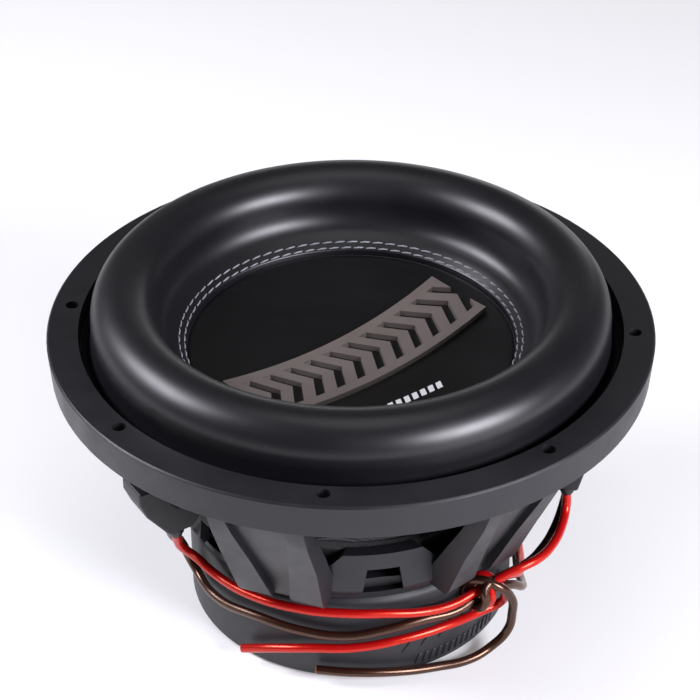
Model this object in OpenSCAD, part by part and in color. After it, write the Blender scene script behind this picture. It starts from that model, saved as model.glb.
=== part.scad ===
// Twelve-inch car subwoofer: cast basket, high-roll stitched surround, dished cap,
// moving coil on two spiders, two-magnet motor in a rubber boot, two pairs of lead wires.
// Origin: centre of the motor's underside. +Z points out of the cone. Units: millimetres.

/* [Basket] */
// Outer radius of the mounting rim
rim_r = 160; // [158:1:164]
// Height of the rim's top face above the motor's underside
rim_z = 172.5; // [172:0.5:175]
// Height of the rim's side wall
rim_h = 19; // [17:0.5:19]
// Inner radius of the rim, round the surround
rim_inner_r = 143.5; // [143:0.1:144.5]
// Angle that one leg covers, in degrees
leg_angle = 24; // [22:1:26]

/* [Mounting holes] */
// Number of holes in the rim
hole_count = 8; // [4:1:12]
// Diameter of the circle that the holes lie on
hole_circle_d = 298.2; // [296:0.1:304]
// Diameter of one hole
hole_d = 7; // [5:0.1:8]

/* [Surround] */
// Radius of the circle that the roll's crown follows
roll_mid_r = 119.8; // [119:0.1:120.5]
// Outer radius of the roll's cross-section
roll_r = 16.8; // [16:0.1:17]
// Height of the roll's centre above the motor's underside
roll_z = 181.3; // [180:0.1:184]
// Thickness of the rubber
roll_wall = 2; // [1.5:0.1:2.4]

/* [Cone and cap] */
// Radius of the cap
cap_r = 86.4; // [86:0.1:86.6]
// Height of the cap's centre
cap_mid_z = 150.2; // [148:0.1:152]
// Rise of the cap from its centre to its edge
cap_rise = 7.7; // [6:0.1:7.8]
// Length of the raised badge
badge_l = 150; // [120:1:160]
// Width of the raised badge
badge_w = 42; // [30:1:50]

/* [Motor] */
// Outer radius of the rubber boot
boot_r = 90; // [89:0.5:92]
// Height of the boot
boot_h = 54; // [50:1:56]
// Radius of the magnets
magnet_r = 86; // [85:0.5:86]
// Thickness of one magnet
magnet_h = 19; // [16:0.5:19]
// Inside radius of the voice-coil former
former_r = 38; // [37.5:0.1:38.2]

/* [Leads] */
// Diameter of one lead wire
lead_d = 5; // [4:0.5:5]

/* [Hidden] */
$fn = 96;

// Basket heights and radii
rim_low_z = rim_z - rim_h;
rim_draft = 1.3;
ledge_z = rim_z - 12;
ledge_inner_r = 124;
shoulder_r = 131;
base_z = 62;
base_h = 6;
base_outer_r = 94;
base_inner_r = 60;
shelf_z = 82;
shelf_inner_r = 85.2;
shelf_outer_r = 97;
shelf_low_z = 67;
shelf_top_z = 91;
leg_count = 6;
leg_turn = 15;
leg_pitch = 360 / leg_count;
flute_w = 36;
flute_foot_w = 11;
flute_depth = 4;
vent_w_low = 24;
vent_w_top = 17;
vent_low_z = 58;
vent_top_z = 81;
dip_start = 22;
dip_slope_w = 8;
dip_low_z = 83;
screw_circle_r = 74;
screw_d = 5.8;
screw_head_d = 9.5;
screw_head_h = 3.5;
screw_l = 12;

// Cone and coil
cone_wall = 1.5;
cone_edge_r = 95;
lip_r = 87.2;
lip_z = 160.8;
land_slope = 0.754;
land_thick = 3.4;
cap_wall = 1.2;
badge_h = 3;
badge_turn = 47;
badge_side = -9.5;
badge_bow_r = 630;
neck_z = 112;
former_wall = 0.5;
former_low_z = 36;
former_top_z = 116;
coil_wall = 1.2;
coil_h = 36;
thread_r = 0.45;
thread_lift = thread_r * sqrt(1 + land_slope * land_slope);

// Spiders
spider_wall = 0.8;
spider_wave = 2.2;
spider_rolls = 6;
spider_lower_z = shelf_z;
spacer_h = 6;
spider_upper_z = spider_lower_z + spider_wall + spacer_h;

// Motor
yoke_h = 12;
vent_r = 12;
plate_h = 12;
plate_r = 84;
plate_lip_r = 92;
plate_lip_h = 4;
recess_r = vent_r + 4;
recess_h = 3;
screen_h = 1.5;
gap_clear = 1;
pole_r = former_r - gap_clear;

// Leads
lead_sides = 8;
lead_r = lead_d / 2;
tinsel_r = 1.1;
tinsel_sag = 8;
tinsel_gap = 10;
terminal_w = 20;
terminal_low_z = 83;
terminal_inner_r = 90;
terminal_a_turn = -143;
terminal_b_turn = -6;
grommet_h = 5;
grommet_rim_r = 4.4;
grommet_gap = 10;
exit_a_r = 112;
exit_b_r = 120;
exit_z = terminal_low_z - grommet_h;

// Wire routes, from the grommet to the cut end
route_a_red = [[-86.4, -71.4, 78], [-85.5, -66, 66], [-78, -61, 54], [-68, -66, 48], [-48, -81, 48],
    [-18.5, -93, 50], [5, -95, 50.5], [26, -91, 48.5], [45, -84, 45], [60, -75, 43],
    [69, -69, 45], [77, -62, 46.6], [84, -54, 46], [90, -45, 41], [95, -33, 33], [96, -18, 26],
    [95, -2, 22], [93.5, 15, 20]];
route_a_black = [[-92.5, -63.4, 78], [-91, -57, 65], [-89, -44, 50], [-83, -45, 36],
    [-68, -66, 32], [-42, -85, 36], [-16, -93.5, 35], [6, -94.7, 34.5], [26, -91, 37],
    [45, -83.5, 39], [62, -74, 38], [70, -68, 40], [77, -62, 41.4], [84, -54, 40],
    [92, -45, 34], [97, -34, 24], [97, -18, 14], [95, -2, 8], [93.5, 15, 6]];
route_b_red = [[118.8, -17.5, 78], [119, -18, 69], [117, -28, 63], [112, -42, 60.5],
    [105, -53, 60], [96, -60, 59], [87, -63, 55], [80.5, -66, 50], [81, -68, 43],
    [76, -64, 36], [70.5, -59, 38.5], [70.5, -59, 46.5], [76, -60, 52.5], [84, -62, 48],
    [88, -57, 38], [86, -54, 29], [77, -58, 26], [58, -75.5, 29], [38, -87.5, 29.5],
    [11.5, -94.8, 27], [-15, -94.2, 24], [-34, -89.2, 18], [-51.5, -81, 9]];
route_b_black = [[119.8, -7.6, 78], [118, -11, 67], [113, -25, 58], [107, -38, 55],
    [100, -49, 54], [92, -57, 54], [84, -63, 53], [77.5, -69.5, 51], [78, -72, 43.5],
    [73, -68, 36.5], [67, -63, 38.5], [67, -63, 46.5], [73, -65, 53], [84, -67, 51],
    [91.5, -64, 41], [92.5, -61, 28], [90, -60.5, 14], [82, -64.5, 6], [71, -72.3, 3],
    [52, -80.3, 3], [34, -88.5, 6], [8, -94.7, 9], [-10, -94.3, 9]];

// Shared shapes
function cap_z(r) = cap_mid_z + cap_rise * pow(r / cap_r, 2);
function land_z(r) = lip_z + land_slope * (r - lip_r);
function rim_under_land_z(r) = land_z(r) - land_thick;
function wave_z(t) = spider_wave * sin(360 * spider_rolls * t);

// A shell that follows the cap's dish, lifted clear of its top face
module dish(outer_r, lift, thick) {
    steps = 16;
    rotate_extrude()
        polygon(concat(
            [for (i = [0:steps]) [outer_r * i / steps, cap_z(outer_r * i / steps) + lift + thick]],
            [for (i = [steps:-1:0]) [outer_r * i / steps, cap_z(outer_r * i / steps) + lift]]));
}

// A flat-topped ring between two radii and two heights
module ring(inner_r, outer_r, low_z, high_z) {
    rotate_extrude()
        translate([inner_r, low_z])
        square([outer_r - inner_r, high_z - low_z]);
}

// A corrugated cloth spider, flat where it is glued at its inner and outer edges
module spider(z, inner_r, outer_r) {
    steps = 48;
    flat_w = 5;
    wave_w = outer_r - inner_r - 2 * flat_w;
    rotate_extrude()
        polygon(concat(
            [[inner_r, z + spider_wall]],
            [for (i = [0:steps]) [inner_r + flat_w + wave_w * i / steps,
                z + spider_wall + wave_z(i / steps)]],
            [[outer_r, z + spider_wall], [outer_r, z]],
            [for (i = [steps:-1:0]) [inner_r + flat_w + wave_w * i / steps, z + wave_z(i / steps)]],
            [[inner_r, z]]));
}

// One leg: an angled plate, a little narrower at its foot, with a tapered flute down it
module leg() {
    reach = 200;
    outer_face = [[142, rim_low_z + 1], [139, 140], [133, 124], [120, 97], [107, 67], [104, base_z + 1],
        [88, base_z + 1], [92, 74], [103, 92], [116, 114], [129, 138], [129, rim_low_z + 1]];
    flute_face = [[160, rim_low_z - 4], [138, rim_low_z - 4], [135, 140], [129, 124],
        [116, 97], [104, 74], [101, 64], [101, 50], [160, 50]];
    foot_w = 46;
    top_w = 2 * shoulder_r * tan(leg_angle / 2) - 4;
    difference() {
        intersection() {
            rotate([90, 0, 0]) linear_extrude(reach, center = true) polygon(outer_face);
            rotate([90, 0, 90]) linear_extrude(reach)
                polygon([[-foot_w / 2, base_z - 5], [foot_w / 2, base_z - 5], [top_w / 2, 100],
                    [top_w / 2, reach], [-top_w / 2, reach], [-top_w / 2, 100]]);
        }
        intersection() {
            rotate([90, 0, 0]) linear_extrude(reach, center = true) polygon(flute_face);
            rotate([90, 0, 90]) linear_extrude(reach)
                polygon([[-flute_foot_w / 2, 40], [flute_foot_w / 2, 40], [flute_foot_w / 2, 68],
                    [flute_w / 2, 145], [flute_w / 2, reach], [-flute_w / 2, reach],
                    [-flute_w / 2, 145], [-flute_foot_w / 2, 68]]);
        }
    }
}

// A vent cut through the shelf wall, wider at its foot
module shelf_vent() {
    rotate([90, 0, 90])
        translate([0, 0, base_outer_r - 6])
        linear_extrude(20)
        polygon([[-vent_w_low / 2, vent_low_z], [vent_w_low / 2, vent_low_z],
            [vent_w_top / 2, vent_top_z], [-vent_w_top / 2, vent_top_z]]);
}

// Spider shelf and foot ring; the shelf's wall dips beside each leg
module shelf() {
    difference() {
        rotate_extrude()
            polygon([[shelf_inner_r, shelf_z - 5], [shelf_inner_r, shelf_z],
                [terminal_inner_r, shelf_z], [terminal_inner_r, shelf_top_z],
                [shelf_outer_r, shelf_top_z], [shelf_outer_r, shelf_low_z],
                [base_outer_r, base_z], [base_inner_r, base_z],
                [base_inner_r, base_z + base_h], [shelf_outer_r - 6, base_z + base_h],
                [shelf_outer_r - 6, shelf_z - 5]]);
        for (i = [0:leg_count - 1])
            rotate(leg_turn + i * leg_pitch)
                rotate([90, 0, 90])
                translate([0, 0, shelf_inner_r - 4])
                linear_extrude(40)
                polygon([[-dip_start - dip_slope_w, shelf_top_z + 1], [-dip_start, dip_low_z],
                    [dip_start, dip_low_z], [dip_start + dip_slope_w, shelf_top_z + 1]]);
    }
}

// Cast basket: rim, ledge for the surround, six legs, spider shelf and foot ring
module basket() {
    color("#242427")
    difference() {
        union() {
            rotate_extrude()
                polygon([[rim_inner_r, rim_z], [rim_r - 1, rim_z], [rim_r, rim_z - 1],
                    [rim_r - rim_draft, rim_low_z], [ledge_inner_r, rim_low_z],
                    [ledge_inner_r, ledge_z], [rim_inner_r, ledge_z]]);
            for (i = [0:leg_count - 1])
                rotate(leg_turn + i * leg_pitch) leg();
            shelf();
        }
        for (i = [0:hole_count - 1])
            rotate(i * 360 / hole_count)
                translate([hole_circle_d / 2, 0, rim_low_z - 1])
                cylinder(d = hole_d, h = rim_h + 2);
        for (i = [0:leg_count - 1])
            rotate(leg_turn + leg_pitch / 2 + i * leg_pitch) shelf_vent();
        for (i = [0:leg_count - 1])
            rotate(leg_turn + i * leg_pitch)
                translate([screw_circle_r, 0, base_z - 1])
                cylinder(d = screw_d + 0.4, h = base_h + 2);
    }
}

// High-roll rubber surround: glue flange, tall half-round roll and stitched inner land
module surround() {
    steps = 18;
    inner_r = roll_r - roll_wall;
    color("#1a1a1c")
    rotate_extrude()
        polygon(concat(
            [[142.5, ledge_z], [142.5, ledge_z + 2], [139.5, ledge_z + 2], [138, ledge_z + 5],
                [roll_mid_r + roll_r + 0.2, ledge_z + 12]],
            [for (i = [0:steps]) [roll_mid_r + roll_r * cos(180 * i / steps),
                roll_z + roll_r * sin(180 * i / steps)]],
            [[101.9, 174.5], [98.6, 168.8], [93.6, land_z(93.6)], [lip_r, lip_z],
                [lip_r, lip_z - land_thick], [cone_edge_r, rim_under_land_z(cone_edge_r)],
                [100.4, 167.6], [103.9, 173.6]],
            [for (i = [steps:-1:0]) [roll_mid_r + inner_r * cos(180 * i / steps),
                roll_z + inner_r * sin(180 * i / steps)]],
            [[134.8, ledge_z + 12], [135.9, ledge_z + 4], [134, ledge_z]]));
}

// Stiff paper cone: straight wall from the coil to the conical rim under the stitched land
module cone() {
    color("#161617")
    rotate_extrude()
        polygon([[former_r + former_wall, neck_z], [lip_r, lip_z - land_thick],
            [cone_edge_r, rim_under_land_z(cone_edge_r)],
            [cone_edge_r, rim_under_land_z(cone_edge_r) - cone_wall],
            [lip_r + 1, lip_z - land_thick - cone_wall], [former_r + former_wall, neck_z - 2 * cone_wall]]);
}

// Shallow dished cap that covers the whole cone
module dust_cap() {
    color("#141415")
    dish(cap_r, -cap_wall, cap_wall);
}

// Raised badge: two bowed rails with a row of arrowheads between them, following the dish
module badge() {
    rail_w = 6;
    bar_w = 7.5;
    bar_pitch = 13.5;
    point = 12;
    half_w = badge_w / 2 - 1;
    color("#8a8078")
    intersection() {
        dish(cap_r - 3, 0, badge_h);
        rotate(badge_turn)
            translate([0, badge_side, cap_mid_z - 5])
            linear_extrude(30)
            intersection() {
                square([badge_l, 2 * badge_w], center = true);
                translate([0, badge_bow_r])
                    union() {
                        for (side = [-1, 1])
                            difference() {
                                circle(badge_bow_r + side * (badge_w - rail_w) / 2 + rail_w / 2, $fn = 720);
                                circle(badge_bow_r + side * (badge_w - rail_w) / 2 - rail_w / 2, $fn = 720);
                            }
                        for (i = [-6:5])
                            rotate(i * bar_pitch / badge_bow_r * 180 / PI)
                                translate([0, -badge_bow_r])
                                polygon([[0, -half_w], [bar_w, -half_w], [bar_w + point, 0],
                                    [bar_w, half_w], [0, half_w], [point, 0]]);
                    }
            }
    }
}

// One row of thread laid round the land
module thread_row(r) {
    color("#b9bbc0")
    rotate_extrude()
        translate([r, land_z(r) + thread_lift])
        circle(r = thread_r, $fn = 16);
}

module stitch_outer() { thread_row(91.1); }

module stitch_inner() { thread_row(88.3); }

// Aluminium former tube of the moving coil
module coil_former() {
    color("#c8b48a")
    ring(former_r, former_r + former_wall, former_low_z, former_top_z);
}

// Two copper windings, one over the other
module coil_inner() {
    color("#b4673a")
    ring(former_r + former_wall, former_r + former_wall + coil_wall, former_low_z + 2,
        former_low_z + 2 + coil_h);
}

module coil_outer() {
    color("#a85c33")
    ring(former_r + former_wall + coil_wall, former_r + former_wall + 2 * coil_wall,
        former_low_z + 2, former_low_z + 2 + coil_h);
}

module spider_upper() {
    color("#3a3a3c")
    spider(spider_upper_z, former_r + former_wall, terminal_inner_r - 0.4);
}

module spider_lower() {
    color("#3a3a3c")
    spider(spider_lower_z, former_r + former_wall, terminal_inner_r - 0.4);
}

// Ring that holds the two spiders apart
module spider_spacer() {
    color("#2c2c2e")
    ring(terminal_inner_r - 5, terminal_inner_r - 0.4, spider_lower_z + spider_wall, spider_upper_z);
}

// Steel front plate of the motor
module top_plate() {
    gap_r = former_r + former_wall + 2 * coil_wall + gap_clear;
    color("#2e2e31")
    difference() {
        union() {
            ring(gap_r, plate_r, base_z - plate_h, base_z);
            ring(plate_r - 1, plate_lip_r, base_z - plate_lip_h, base_z);
        }
        for (i = [0:leg_count - 1])
            rotate(leg_turn + i * leg_pitch)
                translate([screw_circle_r, 0, base_z - plate_h])
                cylinder(d = screw_d, h = plate_h + 1);
    }
}

module magnet_upper() {
    color("#3b3b3f")
    ring(48, magnet_r, yoke_h + magnet_h, yoke_h + 2 * magnet_h);
}

module magnet_lower() {
    color("#3b3b3f")
    ring(48, magnet_r, yoke_h, yoke_h + magnet_h);
}

// Back plate and pole turned from one piece, with a vent down the middle
module yoke() {
    groove_r = 46;
    groove_h = 2;
    pole_top_z = base_z - 2;
    color("#77787c")
    difference() {
        union() {
            cylinder(r = magnet_r - 1, h = yoke_h);
            cylinder(r = pole_r, h = pole_top_z);
        }
        translate([0, 0, -1]) cylinder(r = vent_r, h = base_z + 2);
        translate([0, 0, -1]) cylinder(r = recess_r, h = recess_h + 1);
        ring(pole_r, groove_r, yoke_h - groove_h, yoke_h + 1);
    }
}

// Aluminium ring on the pole's tip
module pole_ring() {
    color("#a9abb0")
    ring(recess_r, pole_r, base_z - 2, base_z + 2);
}

// Pierced screen in the mouth of the vent
module vent_screen() {
    pitch = 5;
    color("#8c8e93")
    translate([0, 0, recess_h - screen_h])
    difference() {
        cylinder(r = recess_r, h = screen_h);
        for (i = [-2:2], j = [-2:2])
            translate([i * pitch, j * pitch, -1]) cylinder(d = 3, h = 4, $fn = 24);
    }
}

// Rubber boot stretched round the motor, with a lip over the magnets' upper edge
module boot() {
    color("#202022")
    rotate_extrude()
        polygon([[magnet_r, 1], [boot_r - 1.5, 0.5], [boot_r, 2], [boot_r, boot_h - 2],
            [boot_r - 2, boot_h], [magnet_r + 1.5, boot_h + 1], [magnet_r, boot_h]]);
}

// Socket-head screws that hold the basket to the top plate
module basket_screws() {
    color("#9a9ca1")
    for (i = [0:leg_count - 1])
        rotate(leg_turn + i * leg_pitch)
            translate([screw_circle_r, 0, base_z + base_h])
            difference() {
                union() {
                    cylinder(d = screw_head_d, h = screw_head_h);
                    translate([0, 0, 2 - screw_l]) cylinder(d = screw_d - 0.1, h = screw_l - 2);
                }
                translate([0, 0, screw_head_h - 2]) cylinder(d = 5, h = 3, $fn = 6);
            }
}

// Moulded lead block that reaches out from the shelf to below the rim
module terminal(turn, exit_r) {
    color("#262628")
    rotate([90, 0, turn])
        linear_extrude(terminal_w, center = true)
        polygon([[terminal_inner_r, shelf_top_z], [98, shelf_top_z], [104, terminal_low_z],
            [exit_r + 6, terminal_low_z], [130, 99], [134, 109], [134, 116], [126, 116], [112, 99],
            [terminal_inner_r, 99]]);
}

module terminal_a() { terminal(terminal_a_turn, exit_a_r); }

module terminal_b() { terminal(terminal_b_turn, exit_b_r); }

// Pair of rubber bushings under a lead block
module grommet(turn, exit_r) {
    color("#101011")
    rotate(turn)
        for (side = [-1, 1])
            translate([exit_r, side * grommet_gap / 2, exit_z])
            cylinder(r = grommet_rim_r, h = grommet_h);
}

module grommet_a() { grommet(terminal_a_turn, exit_a_r); }

module grommet_b() { grommet(terminal_b_turn, exit_b_r); }

// Braided flexible lead that sags from the coil to the lead block
module tinsel(turn, side) {
    start = [former_r + former_wall + 0.6, 106];
    end = [terminal_inner_r, 97];
    chord = norm(end - start);
    arc_r = chord * chord / 8 / tinsel_sag + tinsel_sag / 2;
    middle = (start + end) / 2;
    along = (end - start) / chord;
    across = [-along[1], along[0]];
    centre = middle + across * (arc_r - tinsel_sag);
    half_turn = asin(chord / 2 / arc_r);
    slope = atan2(along[1], along[0]);
    color("#b5a27a")
    rotate(turn)
        translate([0, side * tinsel_gap / 2, 0])
        rotate([90, 0, 0])
        translate([centre[0], centre[1], 0])
        rotate(slope - 90 - half_turn)
        rotate_extrude(angle = 2 * half_turn)
        translate([arc_r, 0])
        circle(r = tinsel_r, $fn = 16);
}

module tinsel_a1() { tinsel(terminal_a_turn, -1); }

module tinsel_a2() { tinsel(terminal_a_turn, 1); }

module tinsel_b1() { tinsel(terminal_b_turn, -1); }

module tinsel_b2() { tinsel(terminal_b_turn, 1); }

// Directions along a route
function clamp_index(i, n) = max(0, min(n - 1, i));
function unit(v) = v / norm(v);
function tangent(p, i) = unit(p[clamp_index(i + 1, len(p))] - p[clamp_index(i - 1, len(p))]);

// Sideways directions that turn as little as possible from ring to ring
function sideways(p, i, previous) =
    i >= len(p) ? [] :
    let (t = tangent(p, i), s = unit(previous - t * (previous * t)))
    concat([s], sideways(p, i + 1, s));

// A round wire swept along a route
module wire(p) {
    s = sideways(p, 0, unit(cross(tangent(p, 0), [1, 0.3, 0.1])));
    last = len(p) - 1;
    points = [for (i = [0:last]) for (k = [0:lead_sides - 1])
        p[i] + lead_r * (cos(360 * k / lead_sides) * s[i]
            + sin(360 * k / lead_sides) * cross(tangent(p, i), s[i]))];
    sides = [for (i = [0:last - 1]) for (k = [0:lead_sides - 1])
        let (a = i * lead_sides + k, b = i * lead_sides + (k + 1) % lead_sides)
        [a, a + lead_sides, b + lead_sides, b]];
    ends = [[for (k = [0:lead_sides - 1]) k],
        [for (k = [lead_sides - 1:-1:0]) last * lead_sides + k]];
    polyhedron(points = points, faces = concat(sides, ends));
}

module lead_a_red() { color("#c01818") wire(route_a_red); }

module lead_a_black() { color("#2a1c1a") wire(route_a_black); }

module lead_b_red() { color("#c01818") wire(route_b_red); }

module lead_b_black() { color("#2a1c1a") wire(route_b_black); }

basket();
surround();
cone();
dust_cap();
badge();
stitch_outer();
stitch_inner();
coil_former();
coil_inner();
coil_outer();
spider_upper();
spider_lower();
spider_spacer();
top_plate();
magnet_upper();
magnet_lower();
yoke();
pole_ring();
vent_screen();
boot();
basket_screws();
terminal_a();
terminal_b();
tinsel_a1();
tinsel_a2();
tinsel_b1();
tinsel_b2();
grommet_a();
grommet_b();
lead_a_red();
lead_a_black();
lead_b_red();
lead_b_black();
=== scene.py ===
import math

import bpy
from mathutils import Matrix, Vector


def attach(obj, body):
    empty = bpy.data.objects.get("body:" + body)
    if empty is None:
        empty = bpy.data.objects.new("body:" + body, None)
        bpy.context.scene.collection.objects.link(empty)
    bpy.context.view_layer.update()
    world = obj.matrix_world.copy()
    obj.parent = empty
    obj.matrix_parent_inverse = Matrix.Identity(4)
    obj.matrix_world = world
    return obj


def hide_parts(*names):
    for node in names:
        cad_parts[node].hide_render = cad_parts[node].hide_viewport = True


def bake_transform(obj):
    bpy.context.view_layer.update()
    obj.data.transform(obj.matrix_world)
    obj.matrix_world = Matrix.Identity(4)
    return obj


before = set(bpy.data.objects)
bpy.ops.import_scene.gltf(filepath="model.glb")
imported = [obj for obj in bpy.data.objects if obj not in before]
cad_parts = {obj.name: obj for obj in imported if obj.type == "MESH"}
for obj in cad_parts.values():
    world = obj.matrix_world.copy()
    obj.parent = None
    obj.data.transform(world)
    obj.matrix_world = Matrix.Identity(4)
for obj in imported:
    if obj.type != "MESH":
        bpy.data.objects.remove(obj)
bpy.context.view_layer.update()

# ---------------------------------------------------------------- studio
# A pale seamless floor, a softbox overhead, one at each side and a low one behind.
# The driver stands on its motor, seen from above and in front.

RIM_FACE_Z = 0.1725
VIEW_ELEVATION = math.radians(33.73)
VIEW_TURN = math.radians(-85.0)
VIEW_DISTANCE = 1.1615


def look_at(thing, target):
    """Turns a light or camera so that it faces a point."""
    thing.rotation_mode = "QUATERNION"
    thing.rotation_quaternion = (Vector(target) - thing.location).to_track_quat("-Z", "Y")


def let_go():
    """Leaves edit mode and deselects everything."""
    if bpy.context.object and bpy.context.object.mode != "OBJECT":
        bpy.ops.object.mode_set(mode="OBJECT")
    bpy.ops.object.select_all(action="DESELECT")


bpy.ops.object.camera_add()
camera = bpy.context.object
camera.name = "studio_camera"
flat = VIEW_DISTANCE * math.cos(VIEW_ELEVATION)
camera.location = (flat * math.cos(VIEW_TURN), flat * math.sin(VIEW_TURN),
                   RIM_FACE_Z + VIEW_DISTANCE * math.sin(VIEW_ELEVATION))
look_at(camera, (0, 0, RIM_FACE_Z))
camera.data.sensor_width = 36
camera.data.lens = 113.1
camera.data.shift_x = -0.00143
camera.data.shift_y = -0.04514
camera.data.clip_start = 0.05
camera.data.clip_end = 30
bpy.context.scene.camera = camera
bpy.context.scene.view_settings.view_transform = "Standard"


def softbox(name, place, target, size, watts, tint=(1, 1, 1)):
    """A rectangular studio light."""
    bpy.ops.object.light_add(type="AREA", location=place)
    light = bpy.context.object
    light.name = name
    light.data.shape = "RECTANGLE"
    light.data.size, light.data.size_y = size
    light.data.energy = watts
    light.data.color = tint
    look_at(light, target)
    return light


softbox("softbox_top", (0.1, 0.1, 1.7), (0, 0, 0.12), (0.9, 0.9), 3)
softbox("softbox_left", (-1.1, -0.03, 0.95), (0, 0, 0.17), (0.72, 0.46), 21, (0.92, 0.91, 1.0))
softbox("softbox_right", (1.07, -0.79, 0.68), (0, 0, 0.17), (0.7, 0.48), 35, (0.92, 0.91, 1.0))
softbox("softbox_back", (0.15, 1.7, 0.3), (0, 0, 0.17), (1.2, 0.3), 2)

world = bpy.data.worlds.new("studio_air")
bpy.context.scene.world = world
world.use_nodes = True
world.node_tree.nodes["Background"].inputs["Color"].default_value = (1, 1, 1, 1)
world.node_tree.nodes["Background"].inputs["Strength"].default_value = 0.12


def linear(code):
    """Linear RGBA of an sRGB hex colour."""
    channels = [int(code[i:i + 2], 16) / 255 for i in (0, 2, 4)]
    return tuple(c / 12.92 if c <= 0.04045 else ((c + 0.055) / 1.055) ** 2.4
                 for c in channels) + (1.0,)


def new_material(name, color, roughness, **sockets):
    """A material with its uniform values on the shader's own sockets."""
    material = bpy.data.materials.new(name)
    material.use_nodes = True
    shader = material.node_tree.nodes["Principled BSDF"]
    shader.inputs["Base Color"].default_value = linear(color)
    shader.inputs["Roughness"].default_value = roughness
    for key, value in sockets.items():
        shader.inputs[key.replace("_", " ")].default_value = value
    return material, material.node_tree, shader


def node(tree, kind, links=None, **settings):
    """One node with its settings; links maps an input to a socket or a value."""
    made = tree.nodes.new("ShaderNode" + kind)
    for key, value in settings.items():
        setattr(made, key, value)
    for key, value in (links or {}).items():
        if isinstance(value, bpy.types.NodeSocket):
            tree.links.new(value, made.inputs[key])
        else:
            made.inputs[key].default_value = value
    return made


bpy.ops.mesh.primitive_plane_add(size=40, location=(0, 0, -0.0002))
floor = bpy.context.object
floor.name = "floor"
# Seamless white acrylic lit from beneath, as on a product table: even white, soft shadow.
paper, tree, shader = new_material("lit_white_acrylic", "e8e8e8", 0.9, Emission_Strength=0.17)
shader.inputs["Emission Color"].default_value = (1, 1, 1, 1)
grain = node(tree, "TexNoise", {"Scale": 400.0})
haze = node(tree, "MapRange", {"Value": grain.outputs["Fac"], "To Min": 0.85, "To Max": 0.95})
tree.links.new(haze.outputs[0], shader.inputs["Roughness"])
floor.data.materials.append(paper)

# ---------------------------------------------------------------- lead wires
# Two red and two brown-black speaker wires: soft PVC drawn over fine copper strands.
# Each is pressed into its bushing at the top, tied with the others at the front right,
# and cut off bare at the other end.

LEAD_DIAMETER = 0.005
LEAD_ROUTES = {
    "lead_a_red": [
        (-86.4, -71.4, 78), (-85.5, -66, 66), (-78, -61, 54), (-68, -66, 48), (-48, -81, 48),
        (-18.5, -93, 50), (5, -95, 50.5), (26, -91, 48.5), (45, -84, 45), (60, -75, 43),
        (69, -69, 45), (77, -62, 46.6), (84, -54, 46), (90, -45, 41), (95, -33, 33),
        (96, -18, 26), (95, -2, 22), (93.5, 15, 20)],
    "lead_a_black": [
        (-92.5, -63.4, 78), (-91, -57, 65), (-89, -44, 50), (-83, -45, 36), (-68, -66, 32),
        (-42, -85, 36), (-16, -93.5, 35), (6, -94.7, 34.5), (26, -91, 37), (45, -83.5, 39),
        (62, -74, 38), (70, -68, 40), (77, -62, 41.4), (84, -54, 40), (92, -45, 34),
        (97, -34, 24), (97, -18, 14), (95, -2, 8), (93.5, 15, 6)],
    "lead_b_red": [
        (118.8, -17.5, 78), (119, -18, 69), (117, -28, 63), (112, -42, 60.5), (105, -53, 60),
        (96, -60, 59), (87, -63, 55), (80.5, -66, 50), (81, -68, 43), (76, -64, 36),
        (70.5, -59, 38.5), (70.5, -59, 46.5), (76, -60, 52.5), (84, -62, 48), (88, -57, 38),
        (86, -54, 29), (77, -58, 26), (58, -75.5, 29), (38, -87.5, 29.5), (11.5, -94.8, 27),
        (-15, -94.2, 24), (-34, -89.2, 18), (-51.5, -81, 9)],
    "lead_b_black": [
        (119.8, -7.6, 78), (118, -11, 67), (113, -25, 58), (107, -38, 55), (100, -49, 54),
        (92, -57, 54), (84, -63, 53), (77.5, -69.5, 51), (78, -72, 43.5), (73, -68, 36.5),
        (67, -63, 38.5), (67, -63, 46.5), (73, -65, 53), (84, -67, 51), (91.5, -64, 41),
        (92.5, -61, 28), (90, -60.5, 14), (82, -64.5, 6), (71, -72.3, 3), (52, -80.3, 3),
        (34, -88.5, 6), (8, -94.7, 9), (-10, -94.3, 9)]}


def pvc_over_copper(name, skin, metal):
    """Clear coloured PVC: the copper shines through it, under a smooth skin."""
    material, tree, shader = new_material(
        name, skin, 0.27, Metallic=0.25, Specular_IOR_Level=0.95,
        Specular_Tint=linear(metal), Coat_Weight=0.3, Coat_Roughness=0.16)
    place = node(tree, "TexCoord").outputs["UV"]
    strands = node(tree, "TexWave", {"Vector": node(tree, "Mapping", {
        "Vector": place, "Rotation": (0, 0, 0.35), "Scale": (1, 6, 1)}).outputs[0],
        "Scale": 3.0, "Distortion": 0.6})
    waver = node(tree, "Bump", {"Height": strands.outputs["Fac"], "Strength": 0.12,
                                "Distance": 0.0003})
    tree.links.new(waver.outputs[0], shader.inputs["Normal"])
    return material


red_pvc = pvc_over_copper("red_pvc_over_copper", "b20a10", "ff9a5c")
black_pvc = pvc_over_copper("brown_black_pvc_over_copper", "24120f", "ffc69c")
copper, tree, shader = new_material("drawn_copper", "d98a5e", 0.3, Metallic=1.0)
scratches = node(tree, "TexNoise", {"Scale": 3000.0, "Detail": 2.0})
rough = node(tree, "MapRange", {"Value": scratches.outputs["Fac"], "To Min": 0.22,
                                "To Max": 0.45})
tree.links.new(rough.outputs[0], shader.inputs["Roughness"])


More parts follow.
